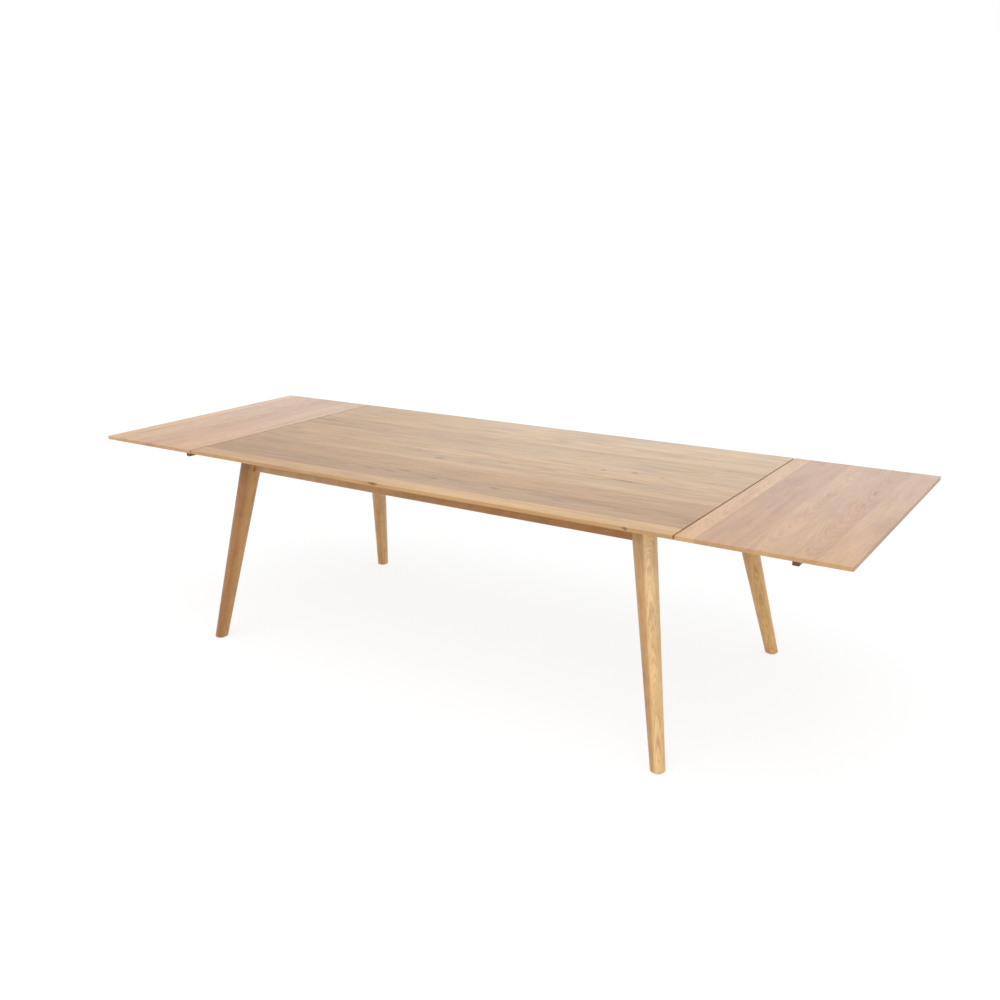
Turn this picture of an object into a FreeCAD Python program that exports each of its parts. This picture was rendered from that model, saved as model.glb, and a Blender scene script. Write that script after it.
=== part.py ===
import FreeCAD, Part
import math
import os

# Oak dining table with two end leaves on drawn bearers, shown with both leaves in place.
# Millimetres. The origin is on the floor under the middle of the top.
# +X runs along the table to the right, +Y to the back and +Z up.

# Top
TABLE_HEIGHT = 760.0
TOP_LENGTH = 2000.0
TOP_WIDTH = 1000.0
TOP_THICKNESS = 24.0
TOP_EDGE_HEIGHT = 13.0      # upright part of the edge, above the underside bevel
TOP_BEVEL_RUN = 45.0        # how far the underside bevel reaches in from the edge
CORNER_RADIUS = 3.0         # corners of the top and leaves, seen from above
ARRIS_RADIUS = 2.0          # rounding along the upper edges

# Leaves
LEAF_REACH = 500.0          # from the end of the top to the outer end of the leaf
LEAF_JOINT_GAP = 4.0
LEAF_LIP_HEIGHT = 14.0      # strip on the leaf that closes the gap from below, past the bevels too
LEAF_LIP_CLEARANCE = 0.3    # between that strip and the end of the top
DOWEL_DIAMETER = 10.0
DOWEL_SPACING = 330.0
DOWEL_COUNT = 3
DOWEL_IN_LEAF = 26.0
DOWEL_IN_TOP = 22.0
DOWEL_PLAY = 0.1            # radial room of a dowel in the end of the top
BORE_END_ROOM = 3.0
BATTEN_END_MARGIN = 35.0    # from the ends of the leaf's flat underside
BATTEN_WIDTH = 45.0
BATTEN_THICKNESS = 18.0
BATTEN_SPACING = 280.0
BATTEN_ROUNDING = 3.0
BATTEN_SCREW_INSET = 45.0   # from the end of the batten to its first screw
BATTEN_SCREW_COUNT = 3

# Legs
LEG_TOP_INSET_X = 167.0     # from the end of the top to the leg's axis, under the top
LEG_TOP_INSET_Y = 154.0     # from the long edge of the top to the leg's axis, under the top
LEG_SPLAY_X = 133.0         # how much further out the axis meets the floor
LEG_SPLAY_Y = 140.0
LEG_TOP_DIAMETER = 77.0
LEG_FOOT_DIAMETER = 47.0
LEG_FLAT_DEPTH = 10.0       # flat on the inner side that seats on the corner brace
FOOT_ROUNDING = 2.5
GLIDE_DIAMETER = 36.0
GLIDE_HEIGHT = 2.5

# Aprons and cross rails
APRON_THICKNESS = 25.0
APRON_HEIGHT = 65.0
APRON_ROUNDING = 3.0        # lower edges
SCRIBE_CLEARANCE = 0.2      # between an apron's hollowed end and the round leg
RAIL_THICKNESS = 25.0
RAIL_HEIGHT = 60.0
CROSS_RAIL_INSET = 425.0    # from the end of the top to each outer cross rail
TENON_LENGTH = 12.0
TENON_THICKNESS = 10.0
TENON_SHOULDER = 12.0       # above and below the tenon
JOINERY_CLEARANCE = 0.1

# Corner braces and leg bolts
BRACE_THICKNESS = 20.0
BRACE_HEIGHT = 55.0
BRACE_SCREW_SEAT = 9.0      # wood left between the screw head and the apron
BOLT_DIAMETER = 8.0
BOLT_SPACING = 28.0
BOLT_IN_LEG = 40.0
BOLT_TAIL = 5.0             # beyond the nut
WASHER_DIAMETER = 20.0
WASHER_THICKNESS = 1.6
NUT_ACROSS_FLATS = 13.0
NUT_SIDES = 6
NUT_HEIGHT = 6.5
BOLT_HOLE_CLEARANCE = 0.25  # radial, in the brace, the washers and the nuts

# Bearers
BEARER_WIDTH = 30.0
BEARER_HEIGHT = 40.0
BEARER_REACH = 296.0        # from the end of the top to the outer face of the pull block
BEARER_ROUNDING = 2.0
BEARER_PLAY = 0.3           # above and beside the bearer in its notches
BEARER_BRACE_CLEARANCE = 4.0
PULL_BLOCK_LENGTH = 22.0
PULL_BLOCK_DROP = 39.0      # below the underside of the bearer
PULL_BLOCK_ROUNDING = 3.0
PULL_SCREW_SPACING = 18.0
PULL_SCREW_SEAT = 12.0      # wood left between the screw head and the bearer
STOP_PIN_DIAMETER = 8.0
STOP_PIN_OVERHANG = 8.0     # how far the pin stands out at each side of the bearer
STOP_PIN_MARGIN = 20.0      # from the pin's centre to the end of the bearer
STOP_CLEARANCE = 0.3

# Angle brackets that hold the top, and wood screws
ANGLE_LEG = 26.0
ANGLE_WIDTH = 20.0
ANGLE_THICKNESS = 2.0
ANGLE_HOLE_SETBACK = 16.0   # from the bend to the screw
SCREW_DIAMETER = 4.0
SCREW_HEAD_DIAMETER = 8.0
SCREW_HEAD_HEIGHT = 2.5
SCREW_HEAD_ROUNDING = 1.2
SCREW_BITE = 12.0           # length of thread in the last piece of wood
PILOT_END_ROOM = 1.0        # beyond the screw's point
SCREW_CLEARANCE = 0.05      # radial, where a screw, pin or dowel is fixed for good
SCREW_HOLE_CLEARANCE = 0.25 # radial, where a screw passes through the piece it holds
POCKET_CLEARANCE = 0.5      # radial, round a sunk screw head

CUT_MARGIN = 5.0            # how far cutting shapes run past what they cut
CONE_MARGIN = 60.0          # how far the leg's cone runs past its ends before it is trimmed
TOLERANCE = 1e-6
PAIR = 2                    # battens of a leaf, bolts of a leg and screws of a pull block
LEFT, RIGHT = -1, 1
FRONT, BACK = -1, 1

# Levels and places worked out from the sizes above
HALF_LENGTH = TOP_LENGTH / 2
HALF_WIDTH = TOP_WIDTH / 2
UNDERSIDE = TABLE_HEIGHT - TOP_THICKNESS
TOP_EDGE_BOTTOM = TABLE_HEIGHT - TOP_EDGE_HEIGHT
APRON_BOTTOM = UNDERSIDE - APRON_HEIGHT
APRON_MIDDLE = UNDERSIDE - APRON_HEIGHT / 2
LEG_TOP_X = HALF_LENGTH - LEG_TOP_INSET_X
LEG_TOP_Y = HALF_WIDTH - LEG_TOP_INSET_Y
MIDDLE_SHARE = (UNDERSIDE - APRON_MIDDLE) / UNDERSIDE
LEG_MIDDLE_X = LEG_TOP_X + LEG_SPLAY_X * MIDDLE_SHARE
LEG_MIDDLE_Y = LEG_TOP_Y + LEG_SPLAY_Y * MIDDLE_SHARE
END_APRON_INSIDE = LEG_MIDDLE_X - APRON_THICKNESS / 2
CROSS_RAIL_X = HALF_LENGTH - CROSS_RAIL_INSET
LONG_APRON_INSIDE = LEG_MIDDLE_Y - APRON_THICKNESS / 2

# The brace stands at 45 degrees, so its faces are the lines x + y = constant.
DIAGONAL = math.sqrt(2)
LEG_FLAT_DISTANCE = LEG_TOP_DIAMETER / 2 - LEG_FLAT_DEPTH
BRACE_OUTER_SUM = LEG_MIDDLE_X + LEG_MIDDLE_Y - LEG_FLAT_DISTANCE * DIAGONAL
BRACE_INNER_SUM = BRACE_OUTER_SUM - BRACE_THICKNESS * DIAGONAL
BOLT_HOLE_DIAMETER = BOLT_DIAMETER + 2 * BOLT_HOLE_CLEARANCE

BEARER_OUTSIDE = BRACE_INNER_SUM - END_APRON_INSIDE - BEARER_BRACE_CLEARANCE
BEARER_Y = BEARER_OUTSIDE - BEARER_WIDTH / 2
BEARER_TOP = UNDERSIDE - BEARER_PLAY
BEARER_BOTTOM = BEARER_TOP - BEARER_HEIGHT
BEARER_MIDDLE = (BEARER_TOP + BEARER_BOTTOM) / 2
PULL_BLOCK_OUTSIDE = HALF_LENGTH + BEARER_REACH
PULL_BLOCK_INSIDE = PULL_BLOCK_OUTSIDE - PULL_BLOCK_LENGTH
STOP_PIN_X = CROSS_RAIL_X - RAIL_THICKNESS / 2 - STOP_CLEARANCE - STOP_PIN_DIAMETER / 2
BEARER_INNER_END = STOP_PIN_X - STOP_PIN_MARGIN

LEAF_INSIDE = HALF_LENGTH + LEAF_JOINT_GAP
LEAF_OUTSIDE = HALF_LENGTH + LEAF_REACH
LEAF_FLAT_END = LEAF_OUTSIDE - TOP_BEVEL_RUN
BATTEN_START = LEAF_INSIDE + BATTEN_END_MARGIN
BATTEN_END = LEAF_FLAT_END - BATTEN_END_MARGIN
BATTEN_MIDDLE = (BATTEN_START + BATTEN_END) / 2
BATTEN_SCREW_SPACING = (BATTEN_END - BATTEN_START - 2 * BATTEN_SCREW_INSET) / (BATTEN_SCREW_COUNT - 1)
DOWEL_LEVEL = TABLE_HEIGHT - TOP_THICKNESS / 2


def point(x, y, z):
    return FreeCAD.Vector(x, y, z)


X_AXIS = point(1, 0, 0)
Y_AXIS = point(0, 1, 0)
Z_AXIS = point(0, 0, 1)
ORIGIN = point(0, 0, 0)


def box(x_range, y_range, z_range):
    lows = [min(span) for span in (x_range, y_range, z_range)]
    sizes = [max(span) - min(span) for span in (x_range, y_range, z_range)]
    return Part.makeBox(*sizes, point(*lows))


def around(centre, size):
    return (centre - size / 2, centre + size / 2)


def rod(diameter, start, end):
    run = end - start
    return Part.makeCylinder(diameter / 2, run.Length, start, run)


def prism(corners, direction):
    return Part.Face(Part.makePolygon(corners + corners[:1])).extrude(direction)


def edges_along(shape, axis, keep):
    """Straight edges that run along the axis and whose middle point the test keeps."""
    chosen = []
    for edge in shape.Edges:
        along = edge.tangentAt(edge.FirstParameter).cross(axis).Length < TOLERANCE
        if along and keep(edge.CenterOfMass):
            chosen.append(edge)
    return chosen


def mirrored(shape, side_x, side_y=BACK):
    """Copy of a piece built in the right back quarter, put in the quarter asked for."""
    copy = shape.copy()
    if side_x == LEFT:
        copy = copy.mirror(ORIGIN, X_AXIS)
    if side_y == FRONT:
        copy = copy.mirror(ORIGIN, Y_AXIS)
    return copy


def four(shape):
    return [mirrored(shape, side_x, side_y) for side_x in (LEFT, RIGHT) for side_y in (FRONT, BACK)]


def spread(count, spacing):
    return [(index - (count - 1) / 2) * spacing for index in range(count)]


def save(name, shape):
    shape.exportStep(os.path.join("parts", name + ".step"))


def save_group(name, shapes):
    save(name, Part.makeCompound(shapes))


# Screws: each is given by the point under its head, the way it goes in and what it passes through

def screw(seat, direction, through):
    shank = rod(SCREW_DIAMETER, seat, seat + direction * (through + SCREW_BITE))
    head = rod(SCREW_HEAD_DIAMETER, seat - direction * SCREW_HEAD_HEIGHT, seat)
    crown = seat - direction * SCREW_HEAD_HEIGHT
    rim = [edge for edge in head.Edges if (edge.CenterOfMass - crown).Length < TOLERANCE]
    head = head.makeFillet(SCREW_HEAD_ROUNDING, rim)
    return head.fuse(shank).removeSplitter()


def screw_pilot(seat, direction, through):
    diameter = SCREW_DIAMETER + 2 * SCREW_CLEARANCE
    return rod(diameter, seat, seat + direction * (through + SCREW_BITE + PILOT_END_ROOM))


def screw_hole(seat, direction, through):
    diameter = SCREW_DIAMETER + 2 * SCREW_HOLE_CLEARANCE
    return rod(diameter, seat - direction * CUT_MARGIN, seat + direction * (through + CUT_MARGIN))


def screw_pocket(seat, direction, depth):
    diameter = SCREW_HEAD_DIAMETER + 2 * POCKET_CLEARANCE
    return rod(diameter, seat - direction * depth, seat)


# Top and leaf panels

def panel(x_range):
    plate = box(x_range, (-HALF_WIDTH, HALF_WIDTH), (UNDERSIDE, TABLE_HEIGHT))
    return plate.makeFillet(CORNER_RADIUS, edges_along(plate, Z_AXIS, lambda middle: True))


def edge_bevel(edge_at, length_axis, out_axis):
    """Wedge that cuts the underside bevel along an edge through edge_at, outward along out_axis."""
    start = out_axis * edge_at - length_axis * (TOP_LENGTH + LEAF_REACH)
    inner = start - out_axis * TOP_BEVEL_RUN
    outer = start + out_axis * CUT_MARGIN
    low = Z_AXIS * (UNDERSIDE - CUT_MARGIN)
    lip = Z_AXIS * TOP_EDGE_BOTTOM
    corners = [inner + Z_AXIS * UNDERSIDE, start + lip, outer + lip, outer + low, inner + low]
    return prism(corners, length_axis * 2 * (TOP_LENGTH + LEAF_REACH))


def round_upper_edges(shape):
    rim = [edge for edge in shape.Edges if abs(edge.BoundBox.ZMin - TABLE_HEIGHT) < TOLERANCE]
    return shape.makeFillet(ARRIS_RADIUS, rim)


def long_edge_bevels():
    return [edge_bevel(HALF_WIDTH, X_AXIS, Y_AXIS), edge_bevel(HALF_WIDTH, X_AXIS, -Y_AXIS)]


def dowel_rod(diameter, y, x_start, x_end):
    return rod(diameter, point(x_start, y, DOWEL_LEVEL), point(x_end, y, DOWEL_LEVEL))


def table_top(bracket_pilots):
    shape = panel((-HALF_LENGTH, HALF_LENGTH)).cut(long_edge_bevels())
    shape = round_upper_edges(shape)
    bores = []
    for y in spread(DOWEL_COUNT, DOWEL_SPACING):
        bottom = HALF_LENGTH - DOWEL_IN_TOP - BORE_END_ROOM
        bore = dowel_rod(DOWEL_DIAMETER + 2 * DOWEL_PLAY, y, bottom, HALF_LENGTH + CUT_MARGIN)
        bores += [bore, mirrored(bore, LEFT)]
    return shape.cut(bores + bracket_pilots)


def leaf_screw_places():
    places = []
    for y in spread(PAIR, BATTEN_SPACING):
        for offset in spread(BATTEN_SCREW_COUNT, BATTEN_SCREW_SPACING):
            places.append(point(BATTEN_MIDDLE + offset, y, UNDERSIDE - BATTEN_THICKNESS))
    return places


def leaf_lip():
    """Strip along the leaf's inner edge, so that nothing falls or shows through the joint gap."""
    half_width = HALF_WIDTH - CORNER_RADIUS
    reach = (HALF_LENGTH + LEAF_LIP_CLEARANCE, LEAF_INSIDE + CORNER_RADIUS)
    return box(reach, (-half_width, half_width), (UNDERSIDE, UNDERSIDE + LEAF_LIP_HEIGHT))


def leaf_panel():
    shape = panel((LEAF_INSIDE, LEAF_OUTSIDE)).fuse(leaf_lip()).removeSplitter()
    shape = shape.cut(long_edge_bevels() + [edge_bevel(LEAF_OUTSIDE, Y_AXIS, X_AXIS)])
    shape = round_upper_edges(shape)
    holes = [screw_pilot(seat, Z_AXIS, BATTEN_THICKNESS) for seat in leaf_screw_places()]
    for y in spread(DOWEL_COUNT, DOWEL_SPACING):
        bottom = LEAF_INSIDE + DOWEL_IN_LEAF + SCREW_CLEARANCE
        holes.append(dowel_rod(DOWEL_DIAMETER + 2 * SCREW_CLEARANCE, y, HALF_LENGTH, bottom))
    return shape.cut(holes)


def leaf_dowels():
    dowels = []
    for y in spread(DOWEL_COUNT, DOWEL_SPACING):
        dowel = dowel_rod(DOWEL_DIAMETER, y, HALF_LENGTH - DOWEL_IN_TOP, LEAF_INSIDE + DOWEL_IN_LEAF)
        nose = [edge for edge in dowel.Edges if edge.CenterOfMass.x < HALF_LENGTH - DOWEL_IN_TOP / 2]
        dowels.append(dowel.makeChamfer(ARRIS_RADIUS, nose[:1]))
    return Part.makeCompound(dowels)


def leaf_batten(y):
    level = (UNDERSIDE - BATTEN_THICKNESS, UNDERSIDE)
    shape = box((BATTEN_START, BATTEN_END), around(y, BATTEN_WIDTH), level)
    lower = edges_along(shape, X_AXIS, lambda middle: middle.z < UNDERSIDE - BATTEN_THICKNESS / 2)
    shape = shape.makeFillet(BATTEN_ROUNDING, lower)
    seats = [seat for seat in leaf_screw_places() if abs(seat.y - y) < BATTEN_WIDTH / 2]
    return shape.cut([screw_hole(seat, Z_AXIS, BATTEN_THICKNESS) for seat in seats])


# Legs

def leg_cone(extra):
    """The leg's whole cone, made larger all round by extra and run past both ends."""
    foot = point(LEG_TOP_X + LEG_SPLAY_X, LEG_TOP_Y + LEG_SPLAY_Y, 0)
    head = point(LEG_TOP_X, LEG_TOP_Y, UNDERSIDE)
    run = head - foot
    taper = (LEG_TOP_DIAMETER - LEG_FOOT_DIAMETER) / 2 / run.Length
    past = run.normalize() * CONE_MARGIN
    length = (head - foot).Length + 2 * CONE_MARGIN
    low_radius = LEG_FOOT_DIAMETER / 2 - taper * CONE_MARGIN + extra
    return Part.makeCone(low_radius, low_radius + taper * length, length, foot - past, run)


def bolt_line():
    """Point where the leg's flat meets the bolts' diagonal, and the inward direction."""
    inward = point(-1, -1, 0) / DIAGONAL
    flat = point(LEG_MIDDLE_X, LEG_MIDDLE_Y, APRON_MIDDLE) + inward * LEG_FLAT_DISTANCE
    return flat, inward


def bolt_rods(diameter, start, end):
    """Two rods on the bolts' axes, from start to end measured inward from the leg's flat."""
    flat, inward = bolt_line()
    rods = []
    for lift in spread(PAIR, BOLT_SPACING):
        at = flat + Z_AXIS * lift
        rods.append(rod(diameter, at + inward * start, at + inward * end))
    return rods


def leg():
    quarter = (0, TOP_LENGTH)
    shape = leg_cone(0).common(box(quarter, quarter, (GLIDE_HEIGHT, UNDERSIDE)))
    sole = [edge for edge in shape.Edges if abs(edge.BoundBox.ZMax - GLIDE_HEIGHT) < TOLERANCE]
    shape = shape.makeFillet(FOOT_ROUNDING, sole)
    flat, inward = bolt_line()
    across = inward.cross(Z_AXIS) * LEG_TOP_DIAMETER
    corner = point(flat.x, flat.y, 0) - across
    waste = prism([corner, corner + across * 2, corner + across * 2 + inward * LEG_TOP_DIAMETER,
                   corner + inward * LEG_TOP_DIAMETER], Z_AXIS * TABLE_HEIGHT)
    holes = bolt_rods(BOLT_DIAMETER + 2 * SCREW_CLEARANCE, -BOLT_IN_LEG - SCREW_CLEARANCE, CUT_MARGIN)
    return shape.cut([waste] + holes)


def foot_glide():
    foot_x = LEG_TOP_X + LEG_SPLAY_X
    foot_y = LEG_TOP_Y + LEG_SPLAY_Y
    return rod(GLIDE_DIAMETER, point(foot_x, foot_y, 0), point(foot_x, foot_y, GLIDE_HEIGHT))


# Corner braces with their bolts and screws

def brace_screw_places():
    """Seats and directions of the two screws that fix a brace to its aprons."""
    middle_sum = (BRACE_OUTER_SUM + BRACE_INNER_SUM) / 2
    on_long = point(middle_sum - LONG_APRON_INSIDE, LONG_APRON_INSIDE - BRACE_SCREW_SEAT, APRON_MIDDLE)
    on_end = point(END_APRON_INSIDE - BRACE_SCREW_SEAT, middle_sum - END_APRON_INSIDE, APRON_MIDDLE)
    return [(on_long, Y_AXIS), (on_end, X_AXIS)]


def corner_brace():
    low = APRON_MIDDLE - BRACE_HEIGHT / 2
    corners = [point(BRACE_OUTER_SUM - LONG_APRON_INSIDE, LONG_APRON_INSIDE, low),
               point(END_APRON_INSIDE, BRACE_OUTER_SUM - END_APRON_INSIDE, low),
               point(END_APRON_INSIDE, BRACE_INNER_SUM - END_APRON_INSIDE, low),
               point(BRACE_INNER_SUM - LONG_APRON_INSIDE, LONG_APRON_INSIDE, low)]
    shape = prism(corners, Z_AXIS * BRACE_HEIGHT)
    holes = bolt_rods(BOLT_HOLE_DIAMETER, -CUT_MARGIN, BRACE_THICKNESS + CUT_MARGIN)
    for seat, direction in brace_screw_places():
        holes.append(screw_hole(seat, direction, BRACE_SCREW_SEAT))
        holes.append(screw_pocket(seat, direction, BRACE_THICKNESS))
    return shape.cut(holes)


def brace_screws():
    return [screw(seat, direction, BRACE_SCREW_SEAT) for seat, direction in brace_screw_places()]


def brace_pilots():
    return [screw_pilot(seat, direction, BRACE_SCREW_SEAT) for seat, direction in brace_screw_places()]


def hanger_bolts():
    tail = BRACE_THICKNESS + WASHER_THICKNESS + NUT_HEIGHT + BOLT_TAIL
    return bolt_rods(BOLT_DIAMETER, -BOLT_IN_LEG, tail)


def hanger_washers():
    end = BRACE_THICKNESS + WASHER_THICKNESS
    discs = bolt_rods(WASHER_DIAMETER, BRACE_THICKNESS, end)
    holes = bolt_rods(BOLT_HOLE_DIAMETER, 0, end + CUT_MARGIN)
    return [disc.cut(hole) for disc, hole in zip(discs, holes)]


def hanger_nuts():
    flat, inward = bolt_line()
    across = inward.cross(Z_AXIS)
    corner_radius = NUT_ACROSS_FLATS / 2 / math.cos(math.pi / NUT_SIDES)
    start = BRACE_THICKNESS + WASHER_THICKNESS
    seat = flat + inward * start
    holes = bolt_rods(BOLT_HOLE_DIAMETER, 0, start + NUT_HEIGHT + CUT_MARGIN)
    nuts = []
    for lift, hole in zip(spread(PAIR, BOLT_SPACING), holes):
        corners = []
        for turn in range(NUT_SIDES):
            angle = math.tau * turn / NUT_SIDES
            spoke = across * math.cos(angle) + Z_AXIS * math.sin(angle)
            corners.append(seat + Z_AXIS * lift + spoke * corner_radius)
        nuts.append(prism(corners, inward * NUT_HEIGHT).cut(hole))
    return nuts


# Aprons and cross rails

def bearer_notch(x):
    """Opening for one bearer in an end apron or cross rail that stands at x."""
    width = around(BEARER_Y, BEARER_WIDTH + 2 * BEARER_PLAY)
    depth = max(APRON_THICKNESS, RAIL_THICKNESS) + 2 * CUT_MARGIN
    return box(around(x, depth), width, (BEARER_BOTTOM, UNDERSIDE + CUT_MARGIN))


def tenon(x, clearance):
    level = (UNDERSIDE - RAIL_HEIGHT + TENON_SHOULDER - clearance, UNDERSIDE - TENON_SHOULDER + clearance)
    reach = LONG_APRON_INSIDE + TENON_LENGTH + clearance
    return box(around(x, TENON_THICKNESS + 2 * clearance), (-reach, reach), level)


def cross_rail(x):
    level = (UNDERSIDE - RAIL_HEIGHT, UNDERSIDE)
    shape = box(around(x, RAIL_THICKNESS), (-LONG_APRON_INSIDE, LONG_APRON_INSIDE), level)
    shape = shape.fuse(tenon(x, 0)).removeSplitter()
    if x == 0:
        return shape
    return shape.cut([bearer_notch(x), mirrored(bearer_notch(x), RIGHT, FRONT)])


def apron_blank(x_range, y_range, length_axis):
    shape = box(x_range, y_range, (APRON_BOTTOM, UNDERSIDE))
    lower = edges_along(shape, length_axis, lambda middle: middle.z < APRON_MIDDLE)
    return shape.makeFillet(APRON_ROUNDING, lower)


def back_apron(bracket_pilots):
    """Long apron, hollowed at its ends to fit the round legs and mortised for the cross rails."""
    shape = apron_blank((-LEG_MIDDLE_X, LEG_MIDDLE_X), around(LEG_MIDDLE_Y, APRON_THICKNESS), X_AXIS)
    tools = [tenon(x, JOINERY_CLEARANCE) for x in (-CROSS_RAIL_X, 0, CROSS_RAIL_X)]
    for side in (LEFT, RIGHT):
        tools.append(mirrored(leg_cone(SCRIBE_CLEARANCE), side))
        tools.append(mirrored(brace_pilots()[0], side))
    return shape.cut(tools + bracket_pilots)


def right_apron(bracket_pilots):
    """End apron, hollowed at its ends to fit the round legs and notched for the bearers."""
    shape = apron_blank(around(LEG_MIDDLE_X, APRON_THICKNESS), (-LEG_MIDDLE_Y, LEG_MIDDLE_Y), Y_AXIS)
    tools = []
    for side in (FRONT, BACK):
        tools.append(mirrored(leg_cone(SCRIBE_CLEARANCE), RIGHT, side))
        tools.append(mirrored(brace_pilots()[1], RIGHT, side))
        tools.append(mirrored(bearer_notch(LEG_MIDDLE_X), RIGHT, side))
    return shape.cut(tools + bracket_pilots)


# Angle brackets: each is given by its corner under the top and the way it faces

def bracket_places():
    long_x = CROSS_RAIL_X / 2
    end_y = BEARER_Y / 2
    places = []
    for side in (LEFT, RIGHT):
        for face in (FRONT, BACK):
            places.append((point(side * long_x, face * LONG_APRON_INSIDE, UNDERSIDE), -Y_AXIS * face))
            places.append((point(side * END_APRON_INSIDE, face * end_y, UNDERSIDE), -X_AXIS * side))
    return places


def bracket_screws_at(corner, inward):
    """Seats and directions of the screw into the apron and the screw into the top."""
    into_apron = corner + inward * ANGLE_THICKNESS - Z_AXIS * ANGLE_HOLE_SETBACK
    into_top = corner + inward * ANGLE_HOLE_SETBACK - Z_AXIS * ANGLE_THICKNESS
    return (into_apron, -inward), (into_top, Z_AXIS)


def bracket(corner, inward):
    across = inward.cross(Z_AXIS) * ANGLE_WIDTH
    start = corner - across / 2
    thick = ANGLE_THICKNESS
    profile = [start, start + inward * ANGLE_LEG, start + inward * ANGLE_LEG - Z_AXIS * thick,
               start + inward * thick - Z_AXIS * thick, start + inward * thick - Z_AXIS * ANGLE_LEG,
               start - Z_AXIS * ANGLE_LEG]
    shape = prism(profile, across)
    return shape.cut([screw_hole(seat, way, thick) for seat, way in bracket_screws_at(corner, inward)])


def bracket_screws():
    screws = []
    for corner, inward in bracket_places():
        for seat, way in bracket_screws_at(corner, inward):
            screws.append(screw(seat, way, ANGLE_THICKNESS))
    return screws


def bracket_pilots(which):
    """Pilot holes of the bracket screws: 0 for those in the aprons, 1 for those in the top."""
    pilots = []
    for corner, inward in bracket_places():
        seat, way = bracket_screws_at(corner, inward)[which]
        pilots.append(screw_pilot(seat, way, ANGLE_THICKNESS))
    return pilots


# Bearers

def pull_screw_seats():
    x = PULL_BLOCK_INSIDE + PULL_SCREW_SEAT
    return [point(x, BEARER_Y, BEARER_MIDDLE + lift) for lift in spread(PAIR, PULL_SCREW_SPACING)]


def bearer():
    shape = box((BEARER_INNER_END, PULL_BLOCK_INSIDE), around(BEARER_Y, BEARER_WIDTH),
                (BEARER_BOTTOM, BEARER_TOP))
    shape = shape.makeFillet(BEARER_ROUNDING, edges_along(shape, X_AXIS, lambda middle: True))
    holes = [screw_pilot(seat, -X_AXIS, PULL_SCREW_SEAT) for seat in pull_screw_seats()]
    holes.append(stop_pin(SCREW_CLEARANCE))
    return shape.cut(holes)


def stop_pin(extra):
    reach = BEARER_WIDTH / 2 + STOP_PIN_OVERHANG
    start = point(STOP_PIN_X, BEARER_Y - reach, BEARER_MIDDLE)
    return rod(STOP_PIN_DIAMETER + 2 * extra, start, start + Y_AXIS * 2 * reach)


def pull_block():
    shape = box((PULL_BLOCK_INSIDE, PULL_BLOCK_OUTSIDE), around(BEARER_Y, BEARER_WIDTH),
                (BEARER_BOTTOM - PULL_BLOCK_DROP, BEARER_TOP))
    low = BEARER_BOTTOM - PULL_BLOCK_DROP / 2
    rounded = edges_along(shape, Y_AXIS, lambda middle: middle.z < low)
    shape = shape.makeFillet(PULL_BLOCK_ROUNDING, rounded)
    tools = []
    for seat in pull_screw_seats():
        tools.append(screw_hole(seat, -X_AXIS, PULL_SCREW_SEAT))
        tools.append(screw_pocket(seat, -X_AXIS, PULL_BLOCK_LENGTH))
    return shape.cut(tools)


def pull_screws():
    return [screw(seat, -X_AXIS, PULL_SCREW_SEAT) for seat in pull_screw_seats()]


def build():
    os.makedirs("parts", exist_ok=True)
    in_aprons = bracket_pilots(0)
    save("table_top", table_top(bracket_pilots(1)))
    save("apron_back", back_apron(in_aprons))
    save("apron_front", mirrored(back_apron(in_aprons), RIGHT, FRONT))
    save("apron_right", right_apron(in_aprons))
    save("apron_left", mirrored(right_apron(in_aprons), LEFT))
    for name, x in (("left", -CROSS_RAIL_X), ("centre", 0), ("right", CROSS_RAIL_X)):
        save("cross_rail_" + name, cross_rail(x))

    save_group("brace_screws", [copy for piece in brace_screws() for copy in four(piece)])
    save_group("hanger_bolts", [copy for piece in hanger_bolts() for copy in four(piece)])
    save_group("hanger_washers", [copy for piece in hanger_washers() for copy in four(piece)])
    save_group("hanger_nuts", [copy for piece in hanger_nuts() for copy in four(piece)])
    save_group("foot_glides", four(foot_glide()))
    save_group("angle_brackets", [bracket(corner, inward) for corner, inward in bracket_places()])
    save_group("bracket_screws", bracket_screws())

    for side_name, side in (("left", LEFT), ("right", RIGHT)):
        save("leaf_panel_" + side_name, mirrored(leaf_panel(), side))
        save("leaf_dowels_" + side_name, mirrored(leaf_dowels(), side))
        screws = [screw(seat, Z_AXIS, BATTEN_THICKNESS) for seat in leaf_screw_places()]
        save_group("leaf_screws_" + side_name, [mirrored(piece, side) for piece in screws])
        for face_name, face in (("front", FRONT), ("back", BACK)):
            corner = face_name + "_" + side_name
            batten_y = face * BATTEN_SPACING / 2
            save("leaf_batten_" + corner, mirrored(leaf_batten(batten_y), side))
            save("leg_" + corner, mirrored(leg(), side, face))
            save("corner_brace_" + corner, mirrored(corner_brace(), side, face))
            save("bearer_" + corner, mirrored(bearer(), side, face))
            save("pull_block_" + corner, mirrored(pull_block(), side, face))
            save("stop_pin_" + corner, mirrored(stop_pin(0), side, face))
            save_group("pull_screws_" + corner, [mirrored(piece, side, face) for piece in pull_screws()])


build()
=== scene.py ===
import math
from collections import namedtuple

import bpy
from mathutils import Matrix, Vector


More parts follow.
